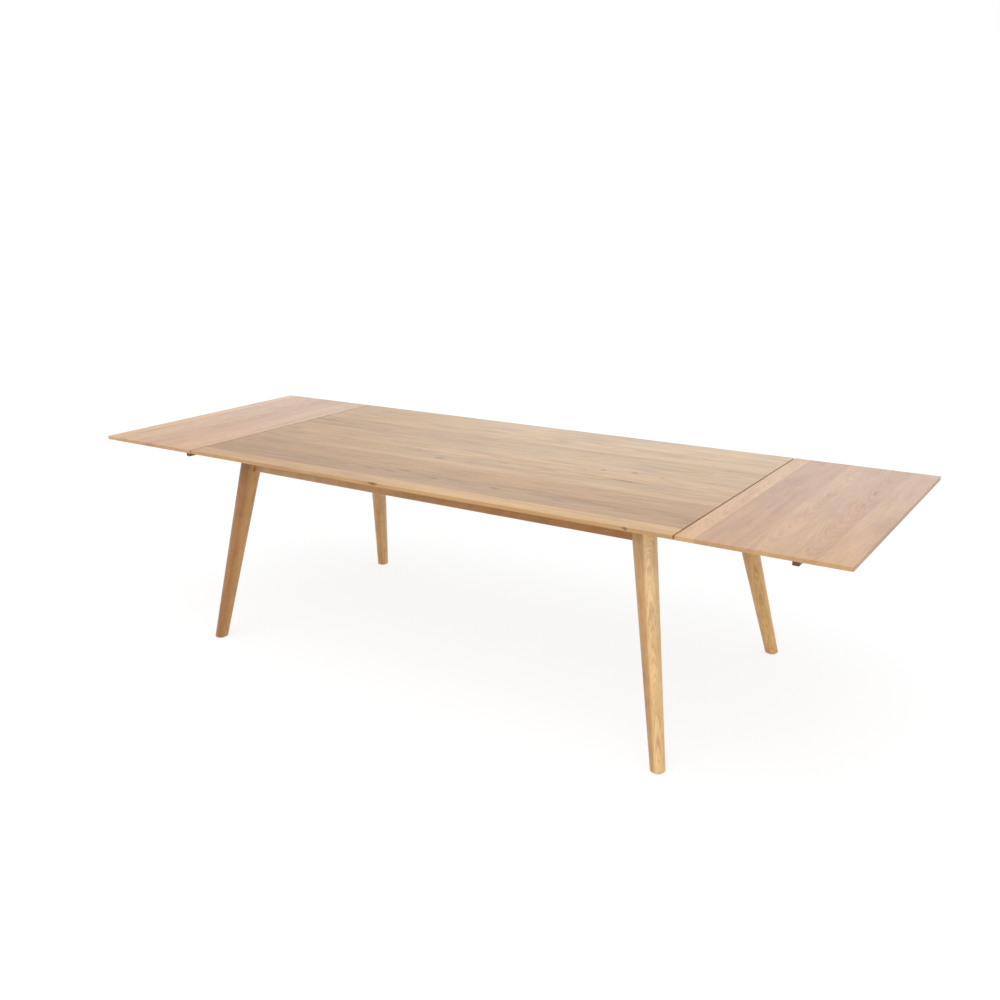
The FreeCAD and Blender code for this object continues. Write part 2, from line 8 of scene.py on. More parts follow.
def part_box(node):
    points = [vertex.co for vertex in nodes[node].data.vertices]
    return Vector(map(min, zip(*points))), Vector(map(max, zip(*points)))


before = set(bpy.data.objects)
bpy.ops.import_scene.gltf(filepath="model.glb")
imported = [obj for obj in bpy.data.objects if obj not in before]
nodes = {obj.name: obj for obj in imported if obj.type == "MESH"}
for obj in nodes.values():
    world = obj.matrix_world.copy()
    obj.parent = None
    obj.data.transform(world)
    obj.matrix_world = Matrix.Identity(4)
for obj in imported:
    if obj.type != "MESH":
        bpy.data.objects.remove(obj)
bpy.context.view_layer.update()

CORNERS = ("front_left", "back_left", "front_right", "back_right")
SIDES = ("left", "right")
X_AXIS = Vector((1, 0, 0))
Y_AXIS = Vector((0, 1, 0))
Z_AXIS = Vector((0, 0, 1))

# Camera of the photograph
CAMERA_PLACE = Vector((2.120, -2.907, 1.649))
CAMERA_YAW = math.radians(32.38)
CAMERA_PITCH = math.radians(17.70)
CAMERA_ROLL = math.radians(-0.70)
CAMERA_LENS = 36.245
CAMERA_SENSOR = 36.0
CAMERA_SHIFT = (-0.048, 0.020)

# Light and surroundings
WORLD_LIGHT = 0.70
WORLD_SEEN = 1.0
KEY_FROM = Vector((0.12, -0.52, 0.84))
KEY_STRENGTH = 1.15
KEY_ANGLE = math.radians(70)
FLOOR_HALF_SIZE = 400.0
FLOOR_BOUNCE = 0.80
FLOOR_SEEN_DIFFUSE = 0.22
FLOOR_SEEN_GLOW = 0.82

# The sRGB curve from screen values to linear light
SCREEN_WHITE = 255
SCREEN_KNEE = 0.04045
SCREEN_SLOPE = 12.92
SCREEN_OFFSET = 0.055
SCREEN_POWER = 2.4


def srgb(red, green, blue):
    """A colour written in 0 to 255 screen values, as linear red, green, blue and alpha."""
    values = []
    for value in (red, green, blue):
        share = value / SCREEN_WHITE
        if share <= SCREEN_KNEE:
            values.append(share / SCREEN_SLOPE)
        else:
            values.append(((share + SCREEN_OFFSET) / (1 + SCREEN_OFFSET)) ** SCREEN_POWER)
    return (*values, 1.0)


def grey(value):
    return (value, value, value, 1.0)


def shaded(tone, shade):
    """A tone made lighter or darker, its alpha kept."""
    return (*(part * shade for part in tone[:3]), 1.0)


# A board starts at its edge and has a named tone, lighter or darker by its shade.
# Arch is how far the middle of its arched figure lies from its own middle.
Board = namedtuple("Board", "edge tone shade arch")

# A knot, dark streak, or spot of painted shade. One on an edge has a depth below the face, and the others
# go right through.
Spot = namedtuple("Spot", "along across half_length half_width strength depth half_depth",
                  defaults=(0.0, math.inf))

# How the colour changes towards one end: where along the grain it starts and is whole, and the tint there.
# On the top, the legs and the front apron this is painted light and shade.
Fade = namedtuple("Fade", "first whole tint")

# Figure of the wood: how far apart the growth rings are, how far behind the face their pith lies, how they
# slope to the grain, how long the streaks are, and how strongly rings, streaks, pores and patches show.
# On a leg the rings also flare and swing aside near the top, and waver more closely.
Figure = namedtuple("Figure", "spacing pith taper length rings streaks pores patches flare swing waver",
                    defaults=(0.0, 0.0, 1.0))
TOP_FIGURE = Figure(spacing=0.0030, pith=0.060, taper=0.030, length=0.36,
                    rings=0.19, streaks=0.26, pores=0.30, patches=0.72)
LEAF_FIGURE = Figure(spacing=0.0022, pith=0.060, taper=0.060, length=0.30,
                     rings=0.15, streaks=0.19, pores=0.28, patches=0.70)
LEG_FIGURE = Figure(spacing=0.0013, pith=0.150, taper=0.050, length=0.09,
                    rings=0.38, streaks=0.36, pores=0.28, patches=0.50, flare=0.06, swing=0.08, waver=3.5)
FRAME_FIGURE = Figure(spacing=0.0030, pith=0.060, taper=0.040, length=0.40,
                      rings=0.22, streaks=0.26, pores=0.24, patches=0.40)

# Tones of the top and the leaves
HONEY = srgb(211, 173, 125)
DRAB = srgb(186, 152, 115)
STRAW = srgb(203, 172, 136)
SAND = srgb(205, 176, 143)
PALE = srgb(210, 183, 150)
# Painted highlight: the tone of the board along the top's back edge, made paler and cooler.
ASH_PAINTED_HIGHLIGHT = srgb(213, 189, 162)
CREAM = srgb(220, 186, 156)
ROSY = srgb(202, 168, 145)
BLUSH = srgb(212, 180, 155)

# The top, with its boards from front to back. Their tones differ as real boards do. The shades are also
# raised to paint a broad sheen over the middle and right, the paler, cooler boards towards the back carry
# painted sheen too, and the palest board along the back edge is a painted highlight.
TOP_SEED = 0.13
TOP_SPAN = (-0.5, 0.5)
TOP_BOARDS = (
    Board(-0.500, HONEY, 1.07, 0.10),
    Board(-0.435, DRAB, 1.02, 0.01),
    Board(-0.312, DRAB, 1.14, -0.09),
    Board(-0.190, STRAW, 1.09, 0.12),
    Board(-0.145, STRAW, 1.02, 0.02),
    Board(-0.052, STRAW, 1.10, -0.01),
    Board(0.030, SAND, 1.06, 0.10),
    Board(0.100, SAND, 1.00, -0.02),
    Board(0.235, PALE, 1.07, 0.03),
    Board(0.345, PALE, 1.10, -0.11),
    Board(0.455, ASH_PAINTED_HIGHLIGHT, 1.06, 0.10),
)
TOP_SPOTS = (
    Spot(0.617, -0.073, 0.058, 0.0065, 0.90),
    Spot(0.494, 0.016, 0.015, 0.0085, 0.80),
    Spot(0.604, 0.035, 0.017, 0.0095, 0.70),
    Spot(0.712, 0.025, 0.011, 0.0070, 0.45),
    Spot(0.440, 0.038, 0.010, 0.0060, 0.35),
    Spot(-0.100, -0.325, 0.034, 0.0100, 0.50),
    Spot(-0.103, -0.126, 0.030, 0.0140, 0.45),
    Spot(0.050, -0.355, 0.018, 0.0090, 0.42),
    Spot(0.298, -0.357, 0.020, 0.0110, 0.55),
    Spot(-0.940, -0.012, 0.045, 0.0300, 0.30),
    Spot(-0.950, 0.175, 0.110, 0.0200, 0.32),
    Spot(0.849, -0.503, 0.011, 0.0060, 1.00, -0.005, 0.007),
    Spot(-0.096, -0.503, 0.024, 0.0070, 1.00, -0.004, 0.007),
)
# Painted shade: the top turns darker and warmer towards its left end, as if the light falls off there.
TOP_PAINTED_LIGHT_FADE = Fade(0.15, -0.90, (0.82, 0.73, 0.60, 1.0))
# Painted shade: the top's front and back edge faces darker and more orange than its face.
TOP_EDGE_PAINTED_SHADE = (0.93, 0.85, 0.73, 1.0)

# The leaves, with their boards outward from the joint
LEAF_SPAN = (1.0, 1.5)
# Painted shade: each leaf's outer end face and joint face darker and browner than its face.
LEAF_EDGE_PAINTED_SHADE = (0.78, 0.66, 0.50, 1.0)
LEAF_END = (1.00, 0.98, 0.82, 1.0)
RIGHT_LEAF_SEED = 0.41
RIGHT_LEAF_BOARDS = (
    Board(1.000, CREAM, 1.00, 0.02),
    Board(1.062, ROSY, 1.00, 0.08),
    Board(1.130, ROSY, 1.03, -0.05),
    Board(1.205, BLUSH, 1.03, 0.01),
    Board(1.285, BLUSH, 0.98, 0.07),
    Board(1.345, ROSY, 1.06, 0.00),
    Board(1.405, BLUSH, 1.01, -0.06),
)
RIGHT_LEAF_SPOTS = (
    Spot(-0.190, 1.370, 0.034, 0.0060, 0.40),
    Spot(-0.050, 1.372, 0.024, 0.0050, 0.35),
)
RIGHT_LEAF_FADE = Fade(-0.35, 0.75, (1.00, 0.89, 0.69, 1.0))
LEFT_LEAF_SEED = 0.77
LEFT_LEAF_BOARDS = (
    Board(1.000, BLUSH, 0.99, 0.02),
    Board(1.062, BLUSH, 1.00, 0.08),
    Board(1.130, ROSY, 1.04, -0.05),
    Board(1.205, ROSY, 1.00, 0.01),
    Board(1.285, BLUSH, 0.99, 0.07),
    Board(1.345, BLUSH, 1.02, 0.00),
    Board(1.405, BLUSH, 1.00, -0.06),
    Board(1.445, CREAM, 1.03, 0.05),
)
LEFT_LEAF_SPOTS = (
    Spot(0.120, 1.250, 0.030, 0.0060, 0.35),
)
LEFT_LEAF_FADE = Fade(0.50, -0.75, (1.01, 0.84, 0.60, 1.0))

# Legs, from the top of the axis to the floor. Each is glued from two staves, side by side as seen from the
# front right, that lean a little to the axis and blend into each other.
LEG_TOP = Vector((0.833, 0.346, 0.736))
LEG_FOOT = Vector((0.966, 0.486, 0.0))
LEG_SPAN = (-0.045, 0.045)
FIRST_LEG_SEED = 0.20
LEG_SEED_STEP = 0.17
STAVE_SIDE = Vector((0.844, 0.536, 0.0))
STAVE_LEANS = {"front_right": -0.005, "front_left": 0.006, "back_right": 0.006, "back_left": 0.006}
STAVE_BLENDS = {"front_right": 0.004, "front_left": 0.012, "back_right": 0.006, "back_left": 0.008}
AMBER = srgb(205, 160, 106)
WHEAT = srgb(244, 207, 150)
TAWNY = srgb(181, 130, 78)
COPPER = srgb(233, 185, 125)
OCHRE = srgb(222, 176, 112)
LEG_STAVES = {
    "front_right": (Board(-0.045, AMBER, 1.04, 0.50), Board(-0.009, WHEAT, 1.02, -0.031)),
    "front_left": (Board(-0.045, TAWNY, 0.95, 0.50), Board(0.012, OCHRE, 1.00, 0.55)),
    # Painted light: the back legs' staves are lightened to offset the shade they stand in below the top.
    "back_right": (Board(-0.045, COPPER, 1.05, 0.02), Board(0.018, COPPER, 1.07, -0.30)),
    "back_left": (Board(-0.045, COPPER, 1.04, 0.30), Board(-0.002, WHEAT, 1.05, 0.34)),
}
LEG_SPOTS = {
    # Painted shade: the front-left leg's spot is the dark slit where the front apron meets it.
    "front_left": (Spot(0.050, 0.021, 0.014, 0.0040, 0.85),),
    "back_right": (Spot(0.125, 0.004, 0.030, 0.0050, 0.70),),
}
# Painted light: the front-right leg lighter and cooler towards its top, where the table top shades it, and
# the back-right leg lighter towards its foot.
LEG_PAINTED_LIGHT_FADES = {
    "front_right": Fade(0.45, 0.05, (1.13, 1.20, 1.32, 1.0)),
    "back_right": Fade(0.15, 0.60, (1.15, 1.26, 1.24, 1.0)),
}

# Aprons, rails, braces and bearers, each one plain board with its width upright
FRAME_SPAN = (0.60, 0.76)
FRAME_ARCH = 0.01
FRAME_TONE = srgb(187, 132, 71)
BEARER_TONE = srgb(166, 124, 80)
# Painted shade: the pull blocks are the frame's oak, darkened as if in the shade below the leaves.
BLOCK_SHADED_TONE = srgb(132, 98, 66)
# Painted light: the front apron lighter and paler towards its left end, where less shade falls on it.
APRON_PAINTED_LIGHT_FADE = Fade(0.50, -0.80, (1.34, 1.75, 3.00, 1.0))
LENGTHWISE_SEED = 0.35
CROSSWISE_SEED = 0.58
BRACE_SEED = 0.12
BEARER_SEED = 0.91
BLOCK_SEED = 0.66

# Tints that marks in the wood multiply its colour by
LATEWOOD = (0.62, 0.49, 0.38, 1.0)
GREY_PATCH = (0.83, 0.81, 0.87, 1.0)
WARM_PATCH = (1.07, 1.05, 0.99, 1.0)
# Also the tint of a spot of painted shade on a leg.
KNOT_AND_SHADE_BROWN = (0.40, 0.29, 0.22, 1.0)
END_GRAIN = (0.84, 0.74, 0.60, 1.0)

# Noise is set by how often it changes per metre along the grain, across it and in depth, and by its detail.
# Levels are the values between which a mark fades in.
NOISE_DETAIL = 3.0
NOISE_ROUGHNESS = 0.55
FINE_DETAIL = 2.0

# Growth rings
RING_WAVER = 0.012
RING_BENDS = Vector((1.6, 9.0, 9.0))
RING_DETAIL = 1.0
RING_LEVELS = (0.42, 0.62)
LEAST_PITH = 0.5
FLARE_ENDS = (-0.05, 0.12)

# Streaks, pores and patches
STREAK_CLOSENESS = 45.0
STREAK_DETAIL = 5.0
STREAK_ROUGHNESS = 0.72
STREAK_LEVELS = (0.38, 0.66)
PORE_STRETCH = (26.0, 900.0, 900.0)
PORE_LEVELS = (0.54, 0.70)
PATCHES_PER_STREAK = 1.5
PATCH_CLOSENESS = 14.0
GREY_LEVELS = (0.46, 0.72)
WARM_LEVELS = (0.52, 0.28)

# Ragged borders of knots, as a share of their size
SPOT_LEVELS = (0.30, 1.30)
RAG_STRETCH = (60.0, 160.0, 160.0)
RAG_REACH = 0.5

# How boards differ from each other, and the room beside them for the middle of an arched figure
SEED_STEP = 0.618
SEED_SHIFT = Vector((5.3, 0.71, 0.37))
ARCH_ROOM = 0.6

# Surface of the oak
OAK_ROUGHNESS = 0.32
DARK_ROUGHNESS = 0.2
GRAIN_DEPTH = 0.0004
GRAIN_STRENGTH = 0.35
FACING_LEVELS = (0.55, 0.85)

# Beech dowels and pins
BEECH_TONE = srgb(206, 176, 136)
BEECH_ROUGHNESS = (0.50, 0.62)
FLECK_STRETCH = (180.0, 900.0, 900.0)
FLECK_LEVELS = (0.52, 0.66)
FLECK_SHARE = 0.45
BEECH_PATCH_STRETCH = (30.0, 120.0, 120.0)
BEECH_PATCH_SHARE = 0.35

# Zinc plating
ZINC_DARK = srgb(176, 178, 180)
ZINC_LIGHT = srgb(214, 213, 208)
ZINC_ROUGHNESS = (0.26, 0.46)
DULL_STRETCH = (160.0, 160.0, 160.0)
DULL_DETAIL = 4.0
SCRATCH_STRETCH = (90.0, 1400.0, 700.0)
SCRATCH_SHARE = 0.4
WEAR_LEVELS = (0.4, 1.0)

# Glides
GLIDE_DARK = srgb(128, 116, 104)
GLIDE_LIGHT = srgb(158, 146, 132)
GLIDE_ROUGHNESS = (0.55, 0.75)
PEBBLE_STRETCH = (900.0, 900.0, 900.0)
PEBBLE_LEVELS = (0.2, 0.8)
PEBBLE_DEPTH = 0.0003
PEBBLE_STRENGTH = 0.6

# Numbers of a mix node's sockets for colours
MIX_SHARE = 0
MIX_FIRST = 6
MIX_SECOND = 7
MIX_RESULT = 2


def add(tree, kind, **settings):
    """A new node of a material's tree, with its plain settings."""
    made = tree.nodes.new("ShaderNode" + kind)
    for name, value in settings.items():
        setattr(made, name, value)
    return made


def feed(tree, socket, value):
    """Links an output to an input socket, or sets the socket to a plain value."""
    if isinstance(value, bpy.types.NodeSocket):
        tree.links.new(value, socket)
    else:
        socket.default_value = value


def calculate(tree, operation, first, second=0.0, clamp=False):
    made = add(tree, "Math", operation=operation, use_clamp=clamp)
    feed(tree, made.inputs[0], first)
    feed(tree, made.inputs[1], second)
    return made.outputs[0]


def vector_math(tree, operation, first, second=(0.0, 0.0, 0.0)):
    made = add(tree, "VectorMath", operation=operation)
    feed(tree, made.inputs[0], first)
    feed(tree, made.inputs[1], second)
    return made.outputs["Value" if operation in ("LENGTH", "DOT_PRODUCT") else "Vector"]


def ease(tree, value, low, high, to_low=0.0, to_high=1.0):
    """A smooth step of value between low and high."""
    made = add(tree, "MapRange", interpolation_type="SMOOTHSTEP")
    for socket, plain in zip(made.inputs, (value, low, high, to_low, to_high)):
        feed(tree, socket, plain)
    return made.outputs[0]


def noise(tree, place, stretch, detail=NOISE_DETAIL, roughness=NOISE_ROUGHNESS):
    """Noise in the place's coordinates, each multiplied by its stretch."""
    made = add(tree, "TexNoise")
    feed(tree, made.inputs["Vector"], vector_math(tree, "MULTIPLY", place, stretch))
    made.inputs["Scale"].default_value = 1.0
    made.inputs["Detail"].default_value = detail
    made.inputs["Roughness"].default_value = roughness
    return made.outputs[0]


def mix(tree, share, first, second, blend="MIX"):
    made = add(tree, "Mix", data_type="RGBA", blend_type=blend)
    feed(tree, made.inputs[MIX_SHARE], share)
    feed(tree, made.inputs[MIX_FIRST], first)
    feed(tree, made.inputs[MIX_SECOND], second)
    return made.outputs[MIX_RESULT]


def tint(tree, share, colour, factor):
    """The colour, multiplied by a factor as far as the share goes."""
    return mix(tree, share, colour, mix(tree, 1.0, colour, factor, "MULTIPLY"))


def new_material(name):
    """A material with its tree and its main shader."""
    material = bpy.data.materials.new(name)
    material.use_nodes = True
    return material, material.node_tree, material.node_tree.nodes["Principled BSDF"]


def add_bump(tree, shader, height, distance, strength):
    bump = add(tree, "Bump")
    bump.inputs["Strength"].default_value = strength
    bump.inputs["Distance"].default_value = distance
    feed(tree, bump.inputs["Height"], height)
    feed(tree, shader.inputs["Normal"], bump.outputs[0])


def by_board(tree, across, span, edges, colours, blend=0.0):
    """One colour for each board, by how far across a point lies, with borders that may blend."""
    low, high = span
    share = calculate(tree, "DIVIDE", calculate(tree, "SUBTRACT", across, low), high - low)
    made = add(tree, "ValToRGB")
    made.color_ramp.interpolation = "LINEAR" if blend else "CONSTANT"
    stops = made.color_ramp.elements
    stops.remove(stops[1])
    stops[0].position = 0.0
    stops[0].color = colours[0]
    for edge, before, after in zip(edges[1:], colours, colours[1:]):
        if blend:
            stops.new((edge - blend - low) / (high - low)).color = before
        stops.new((edge + blend - low) / (high - low)).color = after
    feed(tree, made.inputs[0], share)
    return made.outputs[0]


def lay_boards(tree, across, span, boards, seed, blend):
    """Each board's colour, its own seed, and the middle of its arched figure."""
    edges = [board.edge for board in boards]
    colours = [shaded(board.tone, board.shade) for board in boards]
    seeds = [grey((seed + index * SEED_STEP) % 1.0) for index in range(len(boards))]
    room = span[1] - span[0] + 2 * ARCH_ROOM
    arches = []
    for board, next_edge in zip(boards, [*edges[1:], span[1]]):
        middle = (board.edge + next_edge) / 2 + board.arch
        arches.append(grey((middle - span[0] + ARCH_ROOM) / room))
    colour = by_board(tree, across, span, edges, colours, blend)
    board_seed = by_board(tree, across, span, edges, seeds)
    arch_share = by_board(tree, across, span, edges, arches)
    arch_middle = calculate(tree, "ADD", calculate(tree, "MULTIPLY", arch_share, room), span[0] - ARCH_ROOM)
    return colour, board_seed, arch_middle


def grain_coordinates(tree, along, across, origin):
    """A point's place along the grain, across the boards and above the face, and the way it faces."""
    turn = Matrix((along, across, along.cross(across)))
    coordinates = add(tree, "TexCoord")
    mapping = add(tree, "Mapping", vector_type="POINT")
    mapping.inputs["Rotation"].default_value = turn.to_euler()
    mapping.inputs["Location"].default_value = -(turn @ origin)
    feed(tree, mapping.inputs["Vector"], coordinates.outputs["Object"])
    return mapping.outputs[0], coordinates.outputs["Normal"]


def shift_by_seed(tree, place, board_seed):
    """The place, moved by the board's seed so that no two boards have the same grain."""
    shifted = add(tree, "VectorMath", operation="MULTIPLY_ADD")
    feed(tree, shifted.inputs[0], board_seed)
    shifted.inputs[1].default_value = SEED_SHIFT
    feed(tree, shifted.inputs[2], place)
    return shifted.outputs[0]


def growth_rings(tree, parts, grain_place, board_seed, arch_middle, figure):
    """Dark lines where the surface cuts the rings of the trunk, whose pith lies behind the face."""
    along, across, depth = parts.outputs
    slope = calculate(tree, "MULTIPLY", along, figure.taper)
    if figure.flare:
        slope = calculate(tree, "ADD", slope, ease(tree, along, *FLARE_ENDS, -figure.flare, 0.0))
        swing = ease(tree, along, *FLARE_ENDS, -figure.swing, 0.0)
        arch_middle = calculate(tree, "ADD", arch_middle, swing)
    bends = noise(tree, grain_place, RING_BENDS * figure.waver)
    waver = calculate(tree, "MULTIPLY", bends, RING_WAVER / figure.waver)
    pith = calculate(tree, "MULTIPLY", calculate(tree, "ADD", board_seed, LEAST_PITH), figure.pith)
    cut = add(tree, "CombineXYZ")
    feed(tree, cut.inputs[0], calculate(tree, "SUBTRACT", across, arch_middle))
    for term in (slope, waver, pith):
        depth = calculate(tree, "ADD", depth, term)
    feed(tree, cut.inputs[1], depth)
    radius = vector_math(tree, "LENGTH", cut.outputs[0])
    ring = add(tree, "TexNoise", noise_dimensions="1D")
    feed(tree, ring.inputs["W"], calculate(tree, "DIVIDE", radius, figure.spacing))
    ring.inputs["Scale"].default_value = 1.0
    ring.inputs["Detail"].default_value = RING_DETAIL
    return ease(tree, ring.outputs[0], *RING_LEVELS)


def dark_marks(tree, grain_place, rings, figure):
    """How dark the rings, streaks and pores together make the wood."""
    streak_stretch = (1 / figure.length, STREAK_CLOSENESS, STREAK_CLOSENESS)
    streak = noise(tree, grain_place, streak_stretch, STREAK_DETAIL, STREAK_ROUGHNESS)
    streak = ease(tree, streak, *STREAK_LEVELS)
    pore = ease(tree, noise(tree, grain_place, PORE_STRETCH, FINE_DETAIL), *PORE_LEVELS)
    dark = calculate(tree, "MULTIPLY", rings, figure.rings)
    dark = calculate(tree, "ADD", dark, calculate(tree, "MULTIPLY", streak, figure.streaks))
    return calculate(tree, "ADD", dark, calculate(tree, "MULTIPLY", pore, figure.pores), clamp=True)


def add_patches(tree, grain_place, colour, figure):
    """The colour with grey patches and warm ones."""
    stretch = (PATCHES_PER_STREAK / figure.length, PATCH_CLOSENESS, PATCH_CLOSENESS)
    cloud = noise(tree, grain_place, stretch)
    for levels, patch in ((GREY_LEVELS, GREY_PATCH), (WARM_LEVELS, WARM_PATCH)):
        share = calculate(tree, "MULTIPLY", ease(tree, cloud, *levels), figure.patches)
        colour = tint(tree, share, colour, patch)
    return colour


def spot_mask(tree, place, spots):
    """How much knots, dark streaks and spots of painted shade cover, with ragged borders."""
    ragged = ease(tree, noise(tree, place, RAG_STRETCH, FINE_DETAIL), 0.0, 1.0, -RAG_REACH, RAG_REACH)
    total = 0.0
    for spot in spots:
        offset = vector_math(tree, "SUBTRACT", place, (spot.along, spot.across, spot.depth))
        shares = (1 / spot.half_length, 1 / spot.half_width, 1 / spot.half_depth)
        scaled = vector_math(tree, "MULTIPLY", offset, shares)
        distance = calculate(tree, "ADD", vector_math(tree, "LENGTH", scaled), ragged)
        total = calculate(tree, "MAXIMUM", total, ease(tree, distance, *SPOT_LEVELS, spot.strength, 0.0))
    return total


def facing(tree, normal, axis):
    """One on faces that are turned along an axis, either way."""
    turned = calculate(tree, "ABSOLUTE", vector_math(tree, "DOT_PRODUCT", normal, axis))
    return ease(tree, turned, *FACING_LEVELS)


def oak(name, along, across, span, boards, figure, seed, origin=Vector(), spots=(), blend=0.0,
        edge_painted_shade=None, end_tint=END_GRAIN, fade=None):
    """Oak with its grain along one direction and its boards side by side along another."""
    material, tree, shader = new_material(name)
    place, normal = grain_coordinates(tree, along, across, origin)
    parts = add(tree, "SeparateXYZ")
    feed(tree, parts.inputs[0], place)
    colour, board_seed, arch_middle = lay_boards(tree, parts.outputs[1], span, boards, seed, blend)
    grain_place = shift_by_seed(tree, place, board_seed)

    rings = growth_rings(tree, parts, grain_place, board_seed, arch_middle, figure)
    dark = dark_marks(tree, grain_place, rings, figure)
    colour = tint(tree, dark, colour, LATEWOOD)
    colour = add_patches(tree, grain_place, colour, figure)
    if spots:
        colour = tint(tree, spot_mask(tree, place, spots), colour, KNOT_AND_SHADE_BROWN)

    unfaded = colour
    # A fade tints the wood towards one end; on the top, the legs and the front apron it is painted light
    # and shade.
    if fade:
        share = ease(tree, parts.outputs[0], fade.first, fade.whole)
        colour = tint(tree, share, colour, fade.tint)
    # Faces turned across the boards are darkened by the edge tint: painted shade.
    if edge_painted_shade:
        shaded_edge_colour = mix(tree, 1.0, unfaded, edge_painted_shade, "MULTIPLY")
        colour = mix(tree, facing(tree, normal, across), colour, shaded_edge_colour)
    colour = tint(tree, facing(tree, normal, along), colour, end_tint)

    feed(tree, shader.inputs["Base Color"], colour)
    roughness = calculate(tree, "ADD", calculate(tree, "MULTIPLY", dark, DARK_ROUGHNESS), OAK_ROUGHNESS)
    feed(tree, shader.inputs["Roughness"], roughness)
    add_bump(tree, shader, calculate(tree, "SUBTRACT", 1.0, dark), GRAIN_DEPTH, GRAIN_STRENGTH)
    return material


def frame_oak(name, along, tone, seed, fade=None):
    """Oak of one plain board, for the frame below the top."""
    boards = (Board(FRAME_SPAN[0], tone, 1.0, FRAME_ARCH),)
    return oak(name, along, Z_AXIS, FRAME_SPAN, boards, FRAME_FIGURE, seed, fade=fade)


def beech(name):
    """Pale close-grained wood for dowels and pins, with short dark flecks."""
    material, tree, shader = new_material(name)
    place = add(tree, "TexCoord").outputs["Object"]
    fleck = ease(tree, noise(tree, place, FLECK_STRETCH, FINE_DETAIL), *FLECK_LEVELS)
    cloud = noise(tree, place, BEECH_PATCH_STRETCH)
    colour = tint(tree, calculate(tree, "MULTIPLY", fleck, FLECK_SHARE), BEECH_TONE, LATEWOOD)
    colour = tint(tree, calculate(tree, "MULTIPLY", cloud, BEECH_PATCH_SHARE), colour, GREY_PATCH)
    feed(tree, shader.inputs["Base Color"], colour)
    feed(tree, shader.inputs["Roughness"], ease(tree, fleck, 0.0, 1.0, *BEECH_ROUGHNESS))
    return material


def zinc(name):
    """Bright zinc plating with dull patches and fine scratches."""
    material, tree, shader = new_material(name)
    place = add(tree, "TexCoord").outputs["Object"]
    dull = noise(tree, place, DULL_STRETCH, DULL_DETAIL)
    scratch = noise(tree, place, SCRATCH_STRETCH, FINE_DETAIL)
    wear = calculate(tree, "ADD", dull, calculate(tree, "MULTIPLY", scratch, SCRATCH_SHARE))
    feed(tree, shader.inputs["Base Color"], mix(tree, dull, ZINC_DARK, ZINC_LIGHT))
    shader.inputs["Metallic"].default_value = 1.0
    feed(tree, shader.inputs["Roughness"], ease(tree, wear, *WEAR_LEVELS, *ZINC_ROUGHNESS))
    return material


def pebbled_plastic(name):
    """Grey-brown plastic with a pebbled face, for the glides."""
    material, tree, shader = new_material(name)
    place = add(tree, "TexCoord").outputs["Object"]
    pebble = noise(tree, place, PEBBLE_STRETCH, FINE_DETAIL)
    feed(tree, shader.inputs["Base Color"], mix(tree, pebble, GLIDE_DARK, GLIDE_LIGHT))
    feed(tree, shader.inputs["Roughness"], ease(tree, pebble, *PEBBLE_LEVELS, *GLIDE_ROUGHNESS))
    add_bump(tree, shader, pebble, PEBBLE_DEPTH, PEBBLE_STRENGTH)
    return material


def dress(material, *names):
    """Gives a material to CAD nodes."""
    for name in names:
        mesh = nodes[name].data
        mesh.materials.clear()
        mesh.materials.append(material)


def dress_panels():
    """The top has its boards along the table, each leaf across it."""
    face = Vector((0, 0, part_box("table_top")[1][2]))
    top = oak("oak_top", X_AXIS, Y_AXIS, TOP_SPAN, TOP_BOARDS, TOP_FIGURE, TOP_SEED, origin=face,
              spots=TOP_SPOTS, edge_painted_shade=TOP_EDGE_PAINTED_SHADE, fade=TOP_PAINTED_LIGHT_FADE)
    dress(top, "table_top")
    right_leaf = oak("oak_leaf_right", -Y_AXIS, X_AXIS, LEAF_SPAN, RIGHT_LEAF_BOARDS, LEAF_FIGURE,
                     RIGHT_LEAF_SEED, origin=face, spots=RIGHT_LEAF_SPOTS,
                     edge_painted_shade=LEAF_EDGE_PAINTED_SHADE, end_tint=LEAF_END, fade=RIGHT_LEAF_FADE)
    dress(right_leaf, "leaf_panel_right")
    left_leaf = oak("oak_leaf_left", Y_AXIS, -X_AXIS, LEAF_SPAN, LEFT_LEAF_BOARDS, LEAF_FIGURE,
                    LEFT_LEAF_SEED, origin=face, spots=LEFT_LEAF_SPOTS,
                    edge_painted_shade=LEAF_EDGE_PAINTED_SHADE, end_tint=LEAF_END, fade=LEFT_LEAF_FADE)
    dress(left_leaf, "leaf_panel_left")


def dress_legs():
    """Each leg has its grain along its own axis and its staves across it."""
    for index, corner in enumerate(CORNERS):
        sign_x = 1 if corner.endswith("right") else -1
        sign_y = 1 if corner.startswith("back") else -1
        signs = Vector((sign_x, sign_y, 1))
        top = LEG_TOP * signs
        along = (LEG_FOOT * signs - top).normalized()
        across = (STAVE_SIDE - along * STAVE_SIDE.dot(along)).normalized()
        lean = STAVE_LEANS[corner]
        along, across = (along + lean * across).normalized(), (across - lean * along).normalized()
        leg = oak("oak_leg_" + corner, along, across, LEG_SPAN, LEG_STAVES[corner], LEG_FIGURE,
                  FIRST_LEG_SEED + LEG_SEED_STEP * index, origin=top, spots=LEG_SPOTS.get(corner, ()),
                  blend=STAVE_BLENDS[corner], fade=LEG_PAINTED_LIGHT_FADES.get(corner))
        dress(leg, "leg_" + corner)


